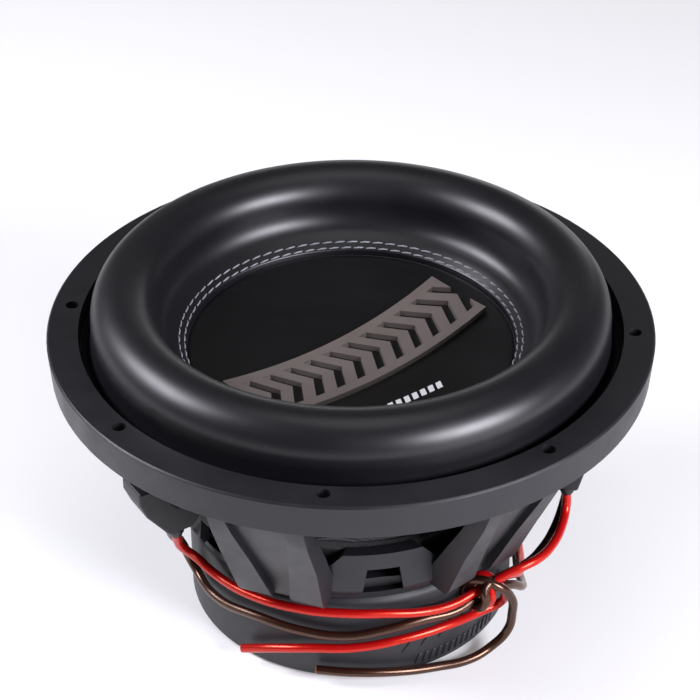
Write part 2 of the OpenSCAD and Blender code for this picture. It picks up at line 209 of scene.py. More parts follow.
def drawn_wire(name, route, radius):
    """A smooth curve through the route's points, as thick as the wire."""
    path = bpy.data.curves.new(name, "CURVE")
    path.dimensions = "3D"
    spline = path.splines.new("BEZIER")
    spline.bezier_points.add(len(route) - 1)
    for knot, point in zip(spline.bezier_points, route):
        knot.co = Vector(point) / 1000
        knot.handle_left_type = knot.handle_right_type = "AUTO"
    path.resolution_u = 10
    path.bevel_depth = radius
    path.bevel_resolution = 5
    path.use_fill_caps = True
    wire = bpy.data.objects.new(name, path)
    bpy.context.collection.objects.link(wire)
    bpy.context.view_layer.update()
    return wire


STRAND_R = 0.00034
STRAND_LENGTH = 0.004
STRAND_PITCH = 2.1 * STRAND_R
COPPER_SUNK = 0.0014


def copper_end(name, tip, before):
    """The cut end's copper: fine strands packed in a round bundle."""
    let_go()
    along = (Vector(tip) - Vector(before)).normalized()
    bpy.ops.mesh.primitive_cylinder_add(vertices=8, radius=STRAND_R, depth=STRAND_LENGTH)
    bundle = bpy.context.object
    bundle.name = name
    bpy.ops.object.mode_set(mode="EDIT")
    bpy.ops.mesh.select_all(action="SELECT")
    bpy.ops.mesh.bevel(offset=0.00008, segments=1, affect="EDGES")
    bpy.ops.object.mode_set(mode="OBJECT")
    copies = [bundle]
    for ring, count in ((1, 6), (2, 12)):
        for k in range(count):
            bpy.ops.object.select_all(action="DESELECT")
            bundle.select_set(True)
            bpy.context.view_layer.objects.active = bundle
            bpy.ops.object.duplicate()
            turn = 2 * math.pi * k / count
            bpy.context.object.location = (STRAND_PITCH * ring * math.cos(turn),
                                           STRAND_PITCH * ring * math.sin(turn),
                                           0.0002 * ((k * 5 + ring) % 3 - 1))
            copies.append(bpy.context.object)
    for copy in copies:
        copy.select_set(True)
    bpy.context.view_layer.objects.active = bundle
    bpy.ops.object.join()
    bundle.matrix_world = Matrix.LocRotScale(
        Vector(tip) / 1000 - along * COPPER_SUNK, along.to_track_quat("Z", "Y"), None)
    bpy.ops.object.transform_apply(location=True, rotation=True, scale=True)
    bundle.data.materials.append(copper)
    return bundle


leads = {}
for name, route in LEAD_ROUTES.items():
    lead = drawn_wire(name + "_wire", route, LEAD_DIAMETER / 2)
    lead.data.materials.append(red_pvc if name.endswith("red") else black_pvc)
    strands = copper_end(name + "_copper", route[-1], route[-2])
    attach(strands, "frame")
    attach(lead, "frame")
    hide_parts(name)
    leads[name] = lead

# ---------------------------------------------------------------- cast basket
# One aluminium casting: a drilled rim, the surround's ledge, six fluted legs, the spider
# shelf and a foot ring. Shot-blasted, then powder coated in fine black.

CAST_EDGE = 0.0009


def from_casting(name, part):
    """A copy of a CAD node with its loose triangles joined up."""
    let_go()
    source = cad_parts[part]
    copy = bpy.data.objects.new(name, source.data.copy())
    bpy.context.collection.objects.link(copy)
    copy.data.materials.clear()
    copy.select_set(True)
    bpy.context.view_layer.objects.active = copy
    bpy.ops.object.mode_set(mode="EDIT")
    bpy.ops.mesh.select_all(action="SELECT")
    bpy.ops.mesh.remove_doubles(threshold=0.00002)
    bpy.ops.mesh.dissolve_limited(angle_limit=math.radians(0.4))
    bpy.ops.object.mode_set(mode="OBJECT")
    return copy


def round_edges(piece, width, segments=2, angle=28):
    """Rounds the piece's sharp edges and smooths what is between them."""
    bpy.ops.object.select_all(action="DESELECT")
    piece.select_set(True)
    bpy.context.view_layer.objects.active = piece
    bevel = piece.modifiers.new("rounded_edges", "BEVEL")
    bevel.width = width
    bevel.segments = segments
    bevel.limit_method = "ANGLE"
    bevel.angle_limit = math.radians(angle)
    bpy.ops.object.modifier_apply(modifier=bevel.name)
    bpy.ops.object.shade_smooth_by_angle(angle=math.radians(32))
    even = piece.modifiers.new("flat_faces_stay_flat", "WEIGHTED_NORMAL")
    even.keep_sharp = True
    bpy.ops.object.modifier_apply(modifier=even.name)


def powder_coat(name, color, roughness, grain_mm, depth_mm):
    """Powder coat: an even skin with fine orange peel and faint handling marks."""
    material, tree, shader = new_material(name, color, roughness, Specular_IOR_Level=0.44)
    place = node(tree, "TexCoord").outputs["Object"]
    peel = node(tree, "TexNoise", {"Vector": place, "Scale": 1000 / grain_mm, "Detail": 3.0})
    marks = node(tree, "TexNoise", {"Vector": place, "Scale": 45.0, "Detail": 5.0})
    rough = node(tree, "MapRange", {"Value": marks.outputs["Fac"], "From Min": 0.3,
                                    "From Max": 0.7, "To Min": roughness - 0.06,
                                    "To Max": roughness + 0.08})
    bump = node(tree, "Bump", {"Height": peel.outputs["Fac"], "Strength": 0.35,
                               "Distance": depth_mm / 1000})
    tree.links.new(rough.outputs[0], shader.inputs["Roughness"])
    tree.links.new(bump.outputs[0], shader.inputs["Normal"])
    return material


basket = from_casting("basket_casting", "basket")
round_edges(basket, CAST_EDGE)
basket.data.materials.append(powder_coat("black_powder_coat_on_casting", "17171b", 0.43, 0.7, 0.1))
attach(basket, "frame")
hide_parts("basket")

# ---------------------------------------------------------------- surround
# A tall half roll of moulded rubber: glued to the basket's ledge outside, and sewn
# to the cone's rim inside.

ROLL_MIDDLE_R = 119.8
ROLL_RADIUS = 16.8
ROLL_HEIGHT = 181.3
ROLL_WALL = 2.0
LEDGE_Z = 160.5
LIP_R = 87.2
LIP_Z = 160.8
LAND_SLOPE = 0.754
LAND_THICKNESS = 3.4


def land_height(radius):
    """Height of the sewn land's top face, in millimetres."""
    return LIP_Z + LAND_SLOPE * (radius - LIP_R)


def arc(radius, start, stop, count):
    """Points on the roll's round section, from one angle in degrees to another."""
    turns = [math.radians(start + (stop - start) * k / count) for k in range(count + 1)]
    return [(ROLL_MIDDLE_R + radius * math.cos(t), ROLL_HEIGHT + radius * math.sin(t))
            for t in turns]


def turned(name, profile, steps=240):
    """Spins a profile of (radius, height) points, in millimetres, once round the axis."""
    let_go()
    start = (profile[0][0] / 1000, 0, profile[0][1] / 1000)
    bpy.ops.mesh.primitive_plane_add(size=0.001, location=start)
    piece = bpy.context.object
    piece.name = name
    bpy.ops.object.transform_apply(location=True)
    bpy.ops.object.mode_set(mode="EDIT")
    bpy.ops.mesh.select_all(action="SELECT")
    bpy.ops.mesh.merge(type="CENTER")
    for here, there in zip(profile, profile[1:]):
        step = ((there[0] - here[0]) / 1000, 0, (there[1] - here[1]) / 1000)
        bpy.ops.mesh.extrude_vertices_move(TRANSFORM_OT_translate={"value": step})
    bpy.ops.mesh.select_all(action="SELECT")
    bpy.ops.mesh.spin(steps=steps, angle=2 * math.pi, center=(0, 0, 0), axis=(0, 0, 1))
    bpy.ops.mesh.select_all(action="SELECT")
    bpy.ops.mesh.remove_doubles(threshold=0.000002)
    bpy.ops.mesh.normals_make_consistent(inside=False)
    bpy.ops.object.mode_set(mode="OBJECT")
    bpy.ops.object.shade_smooth_by_angle(angle=math.radians(40))
    return piece


def flex_round(piece):
    """Bakes the piece's placement into its mesh."""
    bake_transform(piece)


def rounded_corner(before, corner, after, radius, count=4):
    """Points that replace a corner of a profile with a small curve."""
    corner, before, after = Vector(corner), Vector(before), Vector(after)
    first = corner + (before - corner).normalized() * radius
    last = corner + (after - corner).normalized() * radius
    points = []
    for k in range(count + 1):
        t = k / count
        points.append(tuple((1 - t) ** 2 * first + 2 * t * (1 - t) * corner + t * t * last))
    return points


inner_radius = ROLL_RADIUS - ROLL_WALL
top_side = [(142.5, LEDGE_Z), (142.5, 162.1), (142.0, 162.5), (140.4, 162.6), (139.0, 163.4),
            (138.2, 165.0), (137.4, 168.5), (136.9, 173.0), (136.65, 177.0)]
top_side += arc(ROLL_RADIUS, 0, 180, 40)
top_side += [(102.75, 178.0), (102.1, 174.9), (100.9, 171.9), (99.2, 169.3), (97.0, 167.3),
             (94.6, 166.0)]
top_side += [(r, land_height(r)) for r in (92.6, 91.4, 90.0, 88.8)]
top_side += rounded_corner((88.6, land_height(88.6)), (LIP_R, LIP_Z), (LIP_R, LIP_Z - 3), 0.8)
under_side = [(LIP_R, LIP_Z - LAND_THICKNESS + 0.02),
              (95.0, land_height(95.0) - LAND_THICKNESS + 0.02),
              (98.2, 165.4), (100.6, 167.9), (102.6, 170.9), (103.9, 174.3), (104.7, 178.0)]
under_side += arc(inner_radius, 180, 0, 32)
under_side += [(134.7, 176.0), (134.9, 170.0), (135.6, 165.5), (134.0, 161.6),
               (134.0, LEDGE_Z), (142.5, LEDGE_Z)]
surround = turned("surround_rubber", top_side + under_side, steps=288)


def moulded_rubber(name, color, roughness, grain_mm, depth_mm):
    """Moulded rubber: a soft sheen, with bloom and dust that dull it in wide patches."""
    material, tree, shader = new_material(name, color, roughness, IOR=1.52)
    place = node(tree, "TexCoord").outputs["Object"]
    skin = node(tree, "TexNoise", {"Vector": place, "Scale": 1000 / grain_mm, "Detail": 2.0})
    bloom = node(tree, "TexNoise", {"Vector": place, "Scale": 14.0, "Detail": 6.0,
                                    "Roughness": 0.55})
    rough = node(tree, "MapRange", {"Value": bloom.outputs["Fac"], "From Min": 0.3,
                                    "From Max": 0.7, "To Min": roughness - 0.05,
                                    "To Max": roughness + 0.06})
    shade = node(tree, "ValToRGB", {"Fac": bloom.outputs["Fac"]})
    shade.color_ramp.elements[0].position = 0.3
    shade.color_ramp.elements[1].position = 0.72
    base = linear(color)
    shade.color_ramp.elements[0].color = base
    shade.color_ramp.elements[1].color = tuple(1.25 * c for c in base[:3]) + (1.0,)
    bump = node(tree, "Bump", {"Height": skin.outputs["Fac"], "Strength": 0.2,
                               "Distance": depth_mm / 1000})
    tree.links.new(shade.outputs[0], shader.inputs["Base Color"])
    tree.links.new(rough.outputs[0], shader.inputs["Roughness"])
    tree.links.new(bump.outputs[0], shader.inputs["Normal"])
    return material


surround.data.materials.append(
    moulded_rubber("nitrile_rubber_moulded_satin", "0d0d11", 0.38, 0.8, 0.05))
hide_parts("surround")
flex_round(surround)

# ---------------------------------------------------------------- thread
# Two rows of lock stitches through the land and the cone's rim: three-ply polyester
# thread, light grey, pulled slightly into the rubber at each needle hole.

STITCHES = 80
STITCH_RADII = (91.1, 88.3)
THREAD_THICKNESS = 0.95


def stitch_row(name, radius, offset):
    """One row of separate stitches, each a short thread that dips at both ends."""
    let_go()
    pitch = 2 * math.pi / STITCHES
    half = 0.40 * pitch * radius / 1000
    lift = land_height(radius) / 1000
    bpy.ops.mesh.primitive_cylinder_add(vertices=8, radius=THREAD_THICKNESS / 2000,
                                        depth=2 * half, end_fill_type="NOTHING",
                                        rotation=(math.pi / 2, 0, 0))
    stitch = bpy.context.object
    stitch.name = name
    bpy.ops.object.transform_apply(rotation=True)
    bpy.ops.object.mode_set(mode="EDIT")
    bpy.ops.mesh.select_all(action="SELECT")
    bpy.ops.mesh.subdivide(number_cuts=1)
    bpy.ops.mesh.select_all(action="SELECT")
    bpy.ops.mesh.fill_holes(sides=0)
    bpy.ops.object.mode_set(mode="OBJECT")
    for vertex in stitch.data.vertices:
        reach = abs(vertex.co.y) / half
        vertex.co.z = vertex.co.z * (1 - 0.25 * reach ** 3) - 0.00055 * reach ** 3 + 0.00034
        vertex.co.x *= 1 - 0.25 * reach ** 3
    tilt = Matrix.Rotation(-math.atan(LAND_SLOPE), 4, "Y")
    place = Matrix.Translation((radius / 1000, 0, lift))
    stitch.data.transform(place @ tilt @ Matrix.Rotation(math.radians(5), 4, "Z"))
    copies = [stitch]
    for k in range(1, STITCHES):
        copy = stitch.copy()
        copy.data = stitch.data.copy()
        copy.data.transform(Matrix.Rotation(pitch * (k + offset), 4, "Z"))
        bpy.context.collection.objects.link(copy)
        copies.append(copy)
    stitch.data.transform(Matrix.Rotation(pitch * offset, 4, "Z"))
    for copy in copies:
        copy.select_set(True)
    bpy.context.view_layer.objects.active = stitch
    bpy.ops.object.join()
    bpy.ops.object.shade_smooth()
    return stitch


thread, tree, shader = new_material("grey_polyester_thread", "7f8187", 0.75, Sheen_Weight=0.3)
place = node(tree, "TexCoord").outputs["Object"]
ply = node(tree, "TexNoise", {"Vector": place, "Scale": 2500.0, "Detail": 2.0})
soil = node(tree, "TexNoise", {"Vector": place, "Scale": 60.0, "Detail": 3.0})
shade = node(tree, "MixRGB", {"Fac": soil.outputs["Fac"], "Color1": linear("5a5c62"),
                              "Color2": linear("a2a4aa")})
bump = node(tree, "Bump", {"Height": ply.outputs["Fac"], "Strength": 0.6, "Distance": 0.0002})
tree.links.new(shade.outputs[0], shader.inputs["Base Color"])
tree.links.new(bump.outputs[0], shader.inputs["Normal"])
for name, radius, offset in (("stitch_outer", STITCH_RADII[0], 0.0),
                             ("stitch_inner", STITCH_RADII[1], 0.5)):
    row = stitch_row(name + "_thread", radius, offset)
    row.data.materials.append(thread)
    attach(row, "cone_assembly")
    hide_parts(name)

# ---------------------------------------------------------------- cone and dust cap
# Cone: paper pulp pressed in a mould and dyed black, glued to the former. Dust cap: the
# same pulp in a wide shallow dish, sprayed with satin black lacquer, which covers the cone.

CAP_R = 86.4
CAP_WALL = 1.2


def cap_height(radius):
    """Height of the cap's top face, in millimetres."""
    return 150.2 + 7.7 * (radius / CAP_R) ** 2


cone = turned("pressed_paper_cone", [
    (38.5, 112.0), (86.4, 156.7), (87.6, 157.7), (94.6, 163.0), (95.0, 162.9),
    (95.0, 161.9), (94.7, 161.6), (88.4, 156.1), (87.6, 155.4), (39.2, 109.6), (38.8, 109.0),
    (38.5, 109.0), (38.5, 112.0)], steps=200)
pulp, tree, shader = new_material("dyed_paper_pulp", "17171a", 0.82, Sheen_Weight=0.15)
place = node(tree, "TexCoord").outputs["Object"]
# Pressed fibres: a felted surface of short flecks, paler where the dye is thin.
fibre = node(tree, "TexNoise", {"Vector": node(tree, "Mapping", {
    "Vector": place, "Scale": (1, 1, 0.35)}).outputs[0], "Scale": 900.0, "Detail": 4.0,
    "Distortion": 1.5})
flecks = node(tree, "TexVoronoi", {"Vector": place, "Scale": 420.0})
shade = node(tree, "ValToRGB", {"Fac": fibre.outputs["Fac"]})
shade.color_ramp.elements[0].position = 0.35
shade.color_ramp.elements[0].color = linear("121214")
shade.color_ramp.elements[1].position = 0.75
shade.color_ramp.elements[1].color = linear("2b2a2c")
felt = node(tree, "Math", {0: fibre.outputs["Fac"], 1: flecks.outputs["Distance"]},
            operation="ADD")
bump = node(tree, "Bump", {"Height": felt.outputs[0], "Strength": 0.5, "Distance": 0.0003})
tree.links.new(shade.outputs[0], shader.inputs["Base Color"])
tree.links.new(bump.outputs[0], shader.inputs["Normal"])
cone.data.materials.append(pulp)
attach(cone, "cone_assembly")
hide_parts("cone")

top_face = [(CAP_R * k / 40, cap_height(CAP_R * k / 40)) for k in range(40)]
cap_edge = [(86.0, cap_height(86.0)), (86.3, cap_height(86.2) - 0.15), (86.4, 157.5),
            (86.4, 157.0), (86.2, 156.8)]
under_face = [(r, z - CAP_WALL) for r, z in reversed(top_face)]
cap = turned("lacquered_cap", top_face + cap_edge + under_face, steps=220)
lacquer, tree, shader = new_material("satin_black_lacquer_on_pulp", "08080a", 0.36, IOR=1.47)
place = node(tree, "TexCoord").outputs["Object"]
# Sprayed satin lacquer: deep black, a slightly pebbled skin and a few dull wiped patches.
pebble = node(tree, "TexNoise", {"Vector": place, "Scale": 1100.0, "Detail": 2.0})
swell = node(tree, "TexNoise", {"Vector": place, "Scale": 55.0, "Detail": 1.0})
wiped = node(tree, "TexNoise", {"Vector": node(tree, "Mapping", {
    "Vector": place, "Rotation": (0, 0, 0.6), "Scale": (1, 3, 1)}).outputs[0],
    "Scale": 16.0, "Detail": 4.0})
rough = node(tree, "MapRange", {"Value": wiped.outputs["Fac"], "From Min": 0.35,
                                "From Max": 0.7, "To Min": 0.31, "To Max": 0.42})
both = node(tree, "Math", {0: swell.outputs["Fac"], 1: 1.5, 2: pebble.outputs["Fac"]},
            operation="MULTIPLY_ADD")
bump = node(tree, "Bump", {"Height": both.outputs[0], "Strength": 0.12, "Distance": 0.0002})
tree.links.new(rough.outputs[0], shader.inputs["Roughness"])
tree.links.new(bump.outputs[0], shader.inputs["Normal"])
cap.data.materials.append(lacquer)
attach(cap, "cone_assembly")
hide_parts("dust_cap")

# ---------------------------------------------------------------- badge
# A die-cut plate of two bowed rails and a row of arrowheads, plated in warm gunmetal
# and pressed to the cap's dish, with its edges broken. It is glued on.

badge = from_casting("die_cut_badge", "badge")
round_edges(badge, 0.00035, angle=40)
plate, tree, shader = new_material("satin_gunmetal_plating", "857a76", 0.44, Metallic=0.6)
place = node(tree, "TexCoord").outputs["Object"]
# Brushed along the rails before plating: fine streaks, a little brown where it is thin.
streaks = node(tree, "TexNoise", {"Vector": node(tree, "Mapping", {
    "Vector": place, "Rotation": (0, 0, -math.radians(47)),
    "Scale": (0.05, 1, 1)}).outputs[0], "Scale": 2600.0, "Detail": 2.0})
tarnish = node(tree, "TexNoise", {"Vector": place, "Scale": 35.0, "Detail": 3.0})
shade = node(tree, "MixRGB", {"Fac": tarnish.outputs["Fac"], "Color1": linear("7a6e69"),
                              "Color2": linear("978e8a")})
rough = node(tree, "MapRange", {"Value": streaks.outputs["Fac"], "To Min": 0.36,
                                "To Max": 0.56})
bump = node(tree, "Bump", {"Height": streaks.outputs["Fac"], "Strength": 0.12,
                           "Distance": 0.0001})
tree.links.new(shade.outputs[0], shader.inputs["Base Color"])
tree.links.new(rough.outputs[0], shader.inputs["Roughness"])
tree.links.new(bump.outputs[0], shader.inputs["Normal"])
badge.data.materials.append(plate)
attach(badge, "cone_assembly")
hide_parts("badge")

# ---------------------------------------------------------------- printed dashes
# A short row of slanted dashes, pad-printed on the cap in thick white ink beside the
# badge, as wide as the ink pad and a tenth of a millimetre proud.

INK_THICKNESS = 0.12
DASH_COUNT = 8
DASH_PITCH = 5.2
DASH_WIDTH = 3.3
DASH_RUN_END = 20.0
DASH_ROW = (-57.2, -51.6)
DASH_TURN = math.radians(41)


def printed_dash(start):
    """One slanted dash of ink that follows the cap, from where it starts in its row."""
    let_go()
    low, high = DASH_ROW
    bpy.ops.mesh.primitive_cube_add(size=1)
    dash = bpy.context.object
    dash.name = "printed_dashes"
    bpy.ops.object.mode_set(mode="EDIT")
    bpy.ops.mesh.select_all(action="SELECT")
    bpy.ops.mesh.bevel(offset=0.06, segments=1, affect="EDGES")
    bpy.ops.mesh.subdivide(number_cuts=1)
    bpy.ops.object.mode_set(mode="OBJECT")
    for vertex in dash.data.vertices:
        across = low + (high - low) * (vertex.co.y + 0.5)
        along = start + DASH_WIDTH * (vertex.co.x + 0.5) + 0.45 * (across - low)
        x = along * math.cos(DASH_TURN) - across * math.sin(DASH_TURN)
        y = along * math.sin(DASH_TURN) + across * math.cos(DASH_TURN)
        z = cap_height(math.hypot(x, y)) + INK_THICKNESS * (vertex.co.z + 0.3)
        vertex.co = (x / 1000, y / 1000, z / 1000)
    return dash


dashes = [printed_dash(DASH_RUN_END - DASH_WIDTH - 2.5 - k * DASH_PITCH)
          for k in range(DASH_COUNT)]
for dash in dashes:
    dash.select_set(True)
bpy.context.view_layer.objects.active = dashes[0]
bpy.ops.object.join()
ink, tree, shader = new_material("white_pad_print_ink", "e9e9ea", 0.5)
place = node(tree, "TexCoord").outputs["Object"]
# Pad print: flat white, very slightly mottled where the pad lifted.
mottle = node(tree, "TexNoise", {"Vector": place, "Scale": 1400.0, "Detail": 3.0})
shade = node(tree, "MixRGB", {"Fac": mottle.outputs["Fac"], "Color1": linear("d9d9dc"),
                              "Color2": linear("f6f6f6")})
tree.links.new(shade.outputs[0], shader.inputs["Base Color"])
dashes[0].data.materials.append(ink)
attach(dashes[0], "cone_assembly")

# ---------------------------------------------------------------- moving coil
# Two copper windings, one over the other, on a drawn aluminium tube that is glued into
# the cone's neck. Round enamelled wire, wound tight and varnished.

tube = turned("former_tube", [
    (38.0, 36.2), (38.1, 36.0), (38.4, 36.0), (38.5, 36.2), (38.5, 115.8), (38.4, 116.0),
    (38.1, 116.0), (38.0, 115.8), (38.0, 36.2)], steps=160)
drawn, tree, shader = new_material("drawn_aluminium_tube", "b9babc", 0.34, Metallic=1.0)
place = node(tree, "TexCoord").outputs["Object"]
# Drawn tube: fine lines down its length.
lines = node(tree, "TexNoise", {"Vector": node(tree, "Mapping", {
    "Vector": place, "Scale": (1, 1, 0.02)}).outputs[0], "Scale": 1500.0, "Detail": 2.0})
rough = node(tree, "MapRange", {"Value": lines.outputs["Fac"], "To Min": 0.26, "To Max": 0.46})
bump = node(tree, "Bump", {"Height": lines.outputs["Fac"], "Strength": 0.15,
                           "Distance": 0.0001})
tree.links.new(rough.outputs[0], shader.inputs["Roughness"])
tree.links.new(bump.outputs[0], shader.inputs["Normal"])
tube.data.materials.append(drawn)
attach(tube, "cone_assembly")
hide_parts("coil_former")

def bands(pitch_mm):
    """The wave texture's scale that gives one band to each pitch."""
    return 314.16 / pitch_mm


WIRE_PITCH = 0.6
COIL_FOOT_Z = 38.0
COIL_TOP_Z = 74.0
WINDING_THICKNESS = 1.2
CORNER = 0.3

enamel, tree, shader = new_material("enamelled_copper_wire", "9c4f28", 0.32, Metallic=0.9,
                                    Coat_Weight=0.6, Coat_Roughness=0.15)
place = node(tree, "TexCoord").outputs["Object"]
# Turns of wire side by side, 0.6 mm apart up the coil, with varnish pooled between them.
turns_up = node(tree, "TexWave", {"Vector": place, "Scale": bands(WIRE_PITCH),
                                  "Distortion": 0.2}, bands_direction="Z")
pooled = node(tree, "TexNoise", {"Vector": place, "Scale": 90.0, "Detail": 3.0})
shade = node(tree, "MixRGB", {"Fac": pooled.outputs["Fac"], "Color1": linear("7c3a1c"),
                              "Color2": linear("b4643a")})
bump = node(tree, "Bump", {"Height": turns_up.outputs["Fac"], "Strength": 0.8,
                           "Distance": 0.0003})
tree.links.new(shade.outputs[0], shader.inputs["Base Color"])
tree.links.new(bump.outputs[0], shader.inputs["Normal"])
for name, inner in (("coil_inner", 38.5), ("coil_outer", 39.7)):
    outer = inner + WINDING_THICKNESS
    winding = turned(name + "_winding", [
        (inner, COIL_FOOT_Z), (outer - CORNER, COIL_FOOT_Z), (outer, COIL_FOOT_Z + CORNER),
        (outer, COIL_TOP_Z - CORNER), (outer - CORNER, COIL_TOP_Z), (inner, COIL_TOP_Z),
        (inner, COIL_FOOT_Z)], steps=160)
    winding.data.materials.append(enamel)
    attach(winding, "cone_assembly")
    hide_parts(name)

# ---------------------------------------------------------------- spiders
# Two corrugated discs of poly-cotton cloth, dipped in resin and pressed hot into waves.
# Each is glued to the former inside and to the shelf outside; a ring holds them apart.

SPIDER_WALL = 0.8
SPIDER_WAVE = 2.2
SPIDER_ROLLS = 6
SPIDER_INNER_R = 38.5
SPIDER_OUTER_R = 89.6
SPIDER_FLAT = 5.0
THREAD_PITCH = 0.9


def corrugated_disc(name, height):
    """A spider's spun sheet: flat at both edges, six waves between them."""
    first = SPIDER_INNER_R + SPIDER_FLAT
    last = SPIDER_OUTER_R - SPIDER_FLAT
    count = 12 * SPIDER_ROLLS
    line = [(SPIDER_INNER_R, height)]
    for k in range(count + 1):
        wave = SPIDER_WAVE * math.sin(2 * math.pi * SPIDER_ROLLS * k / count)
        line.append((first + (last - first) * k / count, height + wave))
    line.append((SPIDER_OUTER_R, height))
    over = [(r, z + SPIDER_WALL) for r, z in reversed(line)]
    return turned(name, line + over + line[:1], steps=180)


cloth, tree, shader = new_material("resin_dipped_poly_cotton", "202023", 0.55, Sheen_Weight=0.2)
place = node(tree, "TexCoord").outputs["Object"]
# Plain weave, 0.9 mm between threads: warp and weft cross, with resin dulling the gaps.
warp = node(tree, "TexWave", {"Vector": place, "Scale": bands(THREAD_PITCH),
                              "Distortion": 0.4}, bands_direction="X")
weft = node(tree, "TexWave", {"Vector": place, "Scale": bands(THREAD_PITCH),
                              "Distortion": 0.4}, bands_direction="Y")
weave = node(tree, "Math", {0: warp.outputs["Fac"], 1: weft.outputs["Fac"]},
             operation="MULTIPLY")
shade = node(tree, "MixRGB", {"Fac": weave.outputs[0], "Color1": linear("0e0e10"),
                              "Color2": linear("37363a")})
bump = node(tree, "Bump", {"Height": weave.outputs[0], "Strength": 0.8, "Distance": 0.0003})
tree.links.new(shade.outputs[0], shader.inputs["Base Color"])
tree.links.new(bump.outputs[0], shader.inputs["Normal"])
for name, height in (("spider_lower", 82.0), ("spider_upper", 88.8)):
    spider = corrugated_disc(name + "_cloth", height)
    spider.data.materials.append(cloth)
    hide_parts(name)
    flex_round(spider)

spacer = from_casting("moulded_spacer", "spider_spacer")
round_edges(spacer, 0.0005)
phenolic, tree, shader = new_material("moulded_phenolic", "1d1c1c", 0.5)
place = node(tree, "TexCoord").outputs["Object"]
# Phenolic moulding: near black with a faint brown filler speckle.
filler = node(tree, "TexVoronoi", {"Vector": place, "Scale": 900.0})
shade = node(tree, "MixRGB", {"Fac": filler.outputs["Distance"], "Color1": linear("2a2523"),
                              "Color2": linear("151515")})
bump = node(tree, "Bump", {"Height": filler.outputs["Distance"], "Strength": 0.2,
                           "Distance": 0.0001})
tree.links.new(shade.outputs[0], shader.inputs["Base Color"])
tree.links.new(bump.outputs[0], shader.inputs["Normal"])
spacer.data.materials.append(phenolic)
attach(spacer, "frame")
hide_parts("spider_spacer")

# ---------------------------------------------------------------- motor steel
# The front plate, and the back plate with its pole in one piece, are low-carbon steel,
# forged, then turned. The plate is black plated and the back is bright nickel.


def turned_metal(name, color, roughness, line_mm, depth_mm, metallic):
    """Lathe-turned metal: fine rings round the axis, brighter on their crests."""
    material, tree, shader = new_material(name, color, roughness, Metallic=metallic)
    place = node(tree, "TexCoord").outputs["Object"]
    rings = node(tree, "TexWave", {"Vector": place, "Scale": bands(line_mm),
                                   "Distortion": 1.2, "Detail": 2.0},
                 wave_type="RINGS", rings_direction="Z")
    stain = node(tree, "TexNoise", {"Vector": place, "Scale": 30.0, "Detail": 5.0})
    rough = node(tree, "MapRange", {"Value": stain.outputs["Fac"], "From Min": 0.3,
                                    "From Max": 0.7, "To Min": roughness - 0.07,
                                    "To Max": roughness + 0.1})
    shade = node(tree, "MixRGB", {"Fac": stain.outputs["Fac"], "Color1": linear(color),
                                  "Color2": tuple(0.72 * c for c in linear(color)[:3])
                                  + (1.0,)})
    bump = node(tree, "Bump", {"Height": rings.outputs["Fac"], "Strength": 0.25,
                               "Distance": depth_mm / 1000})
    tree.links.new(shade.outputs[0], shader.inputs["Base Color"])
    tree.links.new(rough.outputs[0], shader.inputs["Roughness"])
    tree.links.new(bump.outputs[0], shader.inputs["Normal"])
    return material


front_plate = from_casting("black_plated_front_plate", "top_plate")
round_edges(front_plate, 0.0006)
front_plate.data.materials.append(
    turned_metal("black_zinc_on_turned_steel", "232327", 0.34, 0.8, 0.05, 0.7))
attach(front_plate, "frame")
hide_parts("top_plate")

back_plate = from_casting("turned_back_plate_and_pole", "yoke")
round_edges(back_plate, 0.0007)
back_plate.data.materials.append(
    turned_metal("nickel_on_turned_steel", "a3a3a2", 0.3, 0.9, 0.06, 1.0))
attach(back_plate, "frame")
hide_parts("yoke")

pole_cap = from_casting("turned_pole_ring", "pole_ring")
round_edges(pole_cap, 0.0005)
pole_cap.data.materials.append(
    turned_metal("turned_aluminium", "c3c4c6", 0.26, 0.5, 0.04, 1.0))
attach(pole_cap, "frame")
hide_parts("pole_ring")

# ---------------------------------------------------------------- magnets
# Two sintered ferrite rings, stacked and glued between the steel plates. Ceramic, ground
# flat on both faces, charcoal grey, with small chips broken out of the edges.

ferrite, tree, shader = new_material("sintered_ferrite", "3a3a3d", 0.62, Metallic=0.15)
place = node(tree, "TexCoord").outputs["Object"]
grains = node(tree, "TexNoise", {"Vector": place, "Scale": 1300.0, "Detail": 4.0})
pits = node(tree, "TexVoronoi", {"Vector": place, "Scale": 260.0})
shade = node(tree, "MixRGB", {"Fac": grains.outputs["Fac"], "Color1": linear("2b2b2e"),
                              "Color2": linear("4b4b4f")})
hollow = node(tree, "MapRange", {"Value": pits.outputs["Distance"], "From Max": 0.12})
bump = node(tree, "Bump", {"Height": hollow.outputs[0], "Strength": 0.4, "Distance": 0.0003})
tree.links.new(shade.outputs[0], shader.inputs["Base Color"])
tree.links.new(bump.outputs[0], shader.inputs["Normal"])
for name in ("magnet_lower", "magnet_upper"):
    magnet = from_casting(name + "_ferrite", name)
    round_edges(magnet, 0.0008)
    magnet.data.materials.append(ferrite)
    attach(magnet, "frame")
    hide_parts(name)

# ---------------------------------------------------------------- vent screen
# A disc of punched steel sheet, dropped into the recess under the vent to keep grit out
# of the coil. Punched from below, so that its holes have rounded lips.

screen = from_casting("punched_vent_screen", "vent_screen")
round_edges(screen, 0.00025, segments=1)
zinc, tree, shader = new_material("zinc_plated_sheet", "8f9194", 0.42, Metallic=1.0)
place = node(tree, "TexCoord").outputs["Object"]
